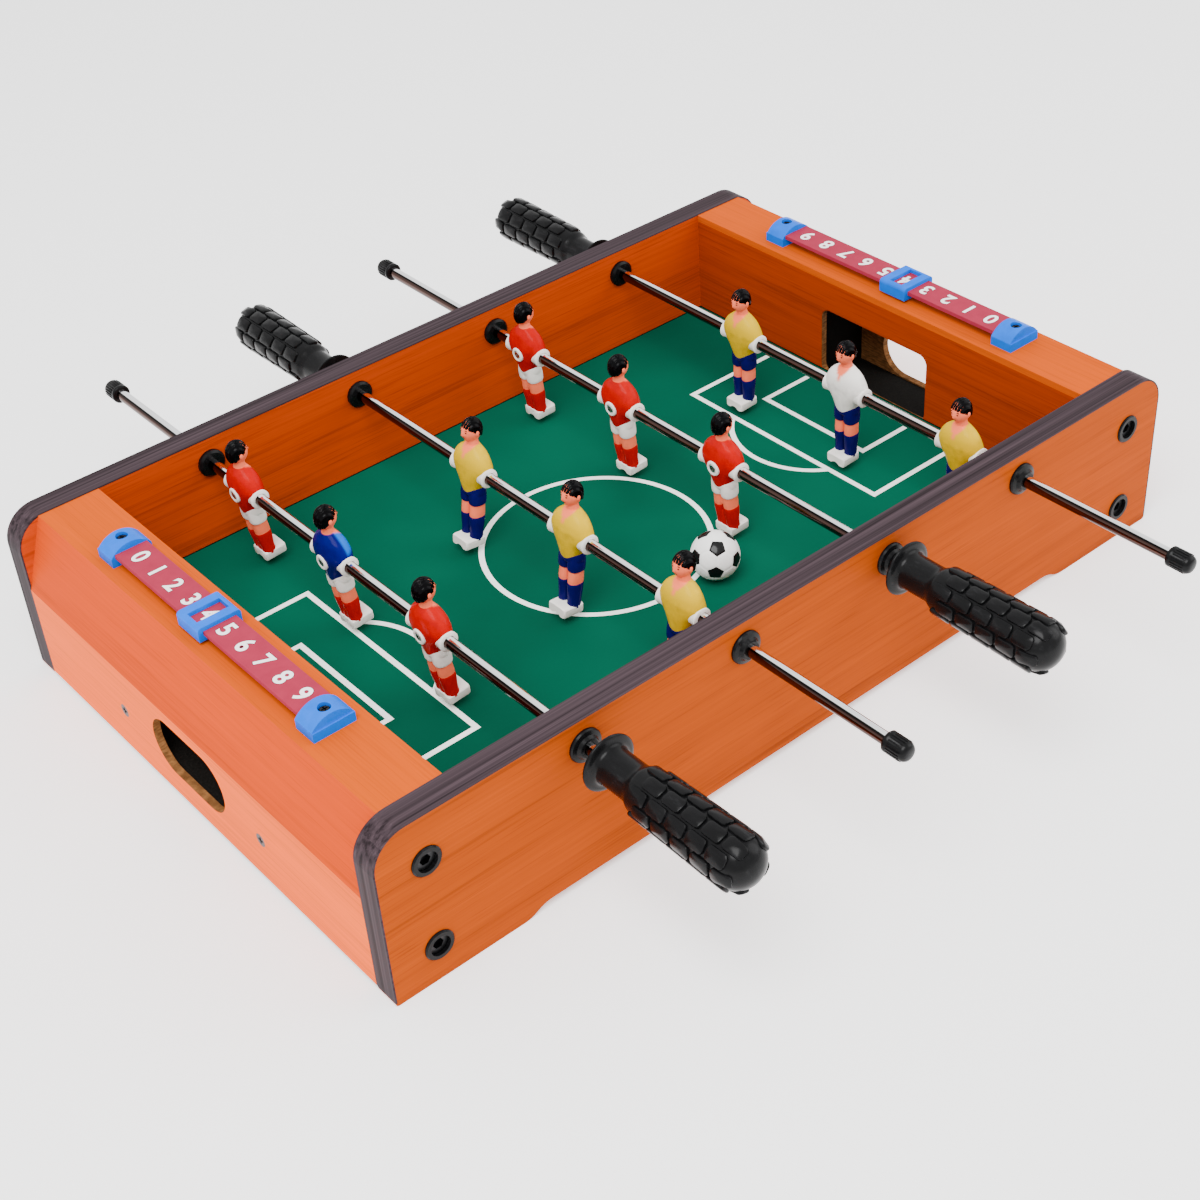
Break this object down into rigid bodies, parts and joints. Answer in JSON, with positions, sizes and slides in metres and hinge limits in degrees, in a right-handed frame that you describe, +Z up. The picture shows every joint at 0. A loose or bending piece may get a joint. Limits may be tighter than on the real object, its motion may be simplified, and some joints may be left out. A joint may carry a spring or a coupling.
{
  "type": "foosball table",
  "caption": "Tabletop foosball table: wood-grain board cabinet with green pitch, goals at both ends, sliding and turning rods of moulded players, sliding score markers and a small ball.",
  "frame": {"origin": "middle of the table's footprint, on the plane that its feet rest on", "axes": "+X along the table from goal A to goal B, +Y across it along the rods to the far side panel, +Z up"},
  "size_m": [0.51, 0.5355, 0.1116],
  "materials": {
    "wood_grain_laminate": "satin printed wood-grain laminate",
    "plain_end_laminate": "satin salmon laminate",
    "raw_fibreboard": "raw fibreboard",
    "edge_band": "streaked purple-grey edge tape",
    "green_pitch": "satin printed green board with white lines",
    "black_plastic": "glossy moulded black",
    "black_steel": "blackened steel",
    "zinc_steel": "zinc-plated steel",
    "chromed_tube": "bright chrome",
    "blue_plastic": "glossy moulded blue",
    "mauve_plastic": "satin mauve with white numerals",
    "red_player": "painted red shirt, white shorts, red socks",
    "yellow_player": "painted yellow shirt, navy shorts",
    "blue_keeper": "painted blue shirt, white shorts, red socks",
    "white_keeper": "painted white shirt, navy shorts",
    "white_ball": "satin white with black pentagons"
  },
  "bodies": {
    "cabinet": {"side_panel_near": "wood_grain_laminate", "side_panel_far": "wood_grain_laminate", "edge_bands": "edge_band", "playfield_board": "green_pitch", "goal_wall_a": "wood_grain_laminate", "top_board_a": "wood_grain_laminate", "slope_board_a": "wood_grain_laminate", "end_board_a": "plain_end_laminate", "goal_tray_a": "raw_fibreboard", "corner_blocks_a": "raw_fibreboard", "goal_cheeks_a": "raw_fibreboard", "goal_wall_b": "wood_grain_laminate", "top_board_b": "wood_grain_laminate", "slope_board_b": "wood_grain_laminate", "end_board_b": "plain_end_laminate", "goal_tray_b": "raw_fibreboard", "corner_blocks_b": "raw_fibreboard", "goal_cheeks_b": "raw_fibreboard", "end_board_screws": "black_steel", "bolt_cups": "black_plastic", "panel_bolts": "black_steel", "threaded_inserts": "zinc_steel", "rod_bushes": "black_plastic", "bush_collars": "black_plastic", "strip_brackets": "blue_plastic", "bracket_screws": "black_steel", "score_strip_a": "mauve_plastic", "score_strip_b": "mauve_plastic"},
    "rod_1_slide": {"rod_1_cap": "black_plastic"},
    "rod_1": {"rod_1_tube": "chromed_tube", "rod_1_handle": "black_plastic", "rod_1_player_a": "red_player", "rod_1_player_b": "blue_keeper", "rod_1_player_c": "red_player", "rod_1_player_screws": "zinc_steel"},
    "rod_2_slide": {"rod_2_cap": "black_plastic"},
    "rod_2": {"rod_2_tube": "chromed_tube", "rod_2_handle": "black_plastic", "rod_2_player_a": "yellow_player", "rod_2_player_b": "yellow_player", "rod_2_player_c": "yellow_player", "rod_2_player_screws": "zinc_steel"},
    "rod_3_slide": {"rod_3_cap": "black_plastic"},
    "rod_3": {"rod_3_tube": "chromed_tube", "rod_3_handle": "black_plastic", "rod_3_player_a": "red_player", "rod_3_player_b": "red_player", "rod_3_player_c": "red_player", "rod_3_player_screws": "zinc_steel"},
    "rod_4_slide": {"rod_4_cap": "black_plastic"},
    "rod_4": {"rod_4_tube": "chromed_tube", "rod_4_handle": "black_plastic", "rod_4_player_a": "yellow_player", "rod_4_player_b": "white_keeper", "rod_4_player_c": "yellow_player", "rod_4_player_screws": "zinc_steel"},
    "marker_a": {"score_marker_a": "blue_plastic"},
    "marker_b": {"score_marker_b": "blue_plastic"},
    "ball": {"ball": "white_ball"}
  },
  "joints": [
    {"name": "rod_1_push", "type": "slide", "parent": "cabinet", "child": "rod_1_slide", "axis": [0, 1, 0], "range_m": [-0.077, 0.0106]},
    {"name": "rod_1_spin", "type": "hinge", "parent": "rod_1_slide", "child": "rod_1", "pos_m": [-0.1431, 0, 0.081], "axis": [0, 1, 0], "continuous": true},
    {"name": "rod_2_push", "type": "slide", "parent": "cabinet", "child": "rod_2_slide", "axis": [0, -1, 0], "range_m": [-0.0841, 0.0035]},
    {"name": "rod_2_spin", "type": "hinge", "parent": "rod_2_slide", "child": "rod_2", "pos_m": [-0.0477, 0, 0.081], "axis": [0, 1, 0], "continuous": true},
    {"name": "rod_3_push", "type": "slide", "parent": "cabinet", "child": "rod_3_slide", "axis": [0, 1, 0], "range_m": [-0.0818, 0.0058]},
    {"name": "rod_3_spin", "type": "hinge", "parent": "rod_3_slide", "child": "rod_3", "pos_m": [0.0477, 0, 0.081], "axis": [0, 1, 0], "continuous": true},
    {"name": "rod_4_push", "type": "slide", "parent": "cabinet", "child": "rod_4_slide", "axis": [0, -1, 0], "range_m": [-0.087, 0.0006]},
    {"name": "rod_4_spin", "type": "hinge", "parent": "rod_4_slide", "child": "rod_4", "pos_m": [0.1431, 0, 0.081], "axis": [0, 1, 0], "continuous": true},
    {"name": "marker_a_slide", "type": "slide", "parent": "cabinet", "child": "marker_a", "axis": [0, -1, 0], "range_m": [-0.0626, 0.0782]},
    {"name": "marker_b_slide", "type": "slide", "parent": "cabinet", "child": "marker_b", "axis": [0, 1, 0], "range_m": [-0.0626, 0.0782]},
    {"name": "ball_lift", "type": "slide", "parent": "cabinet", "child": "ball", "axis": [0, 0, 1], "range_m": [0, 0.12]}
  ]
}
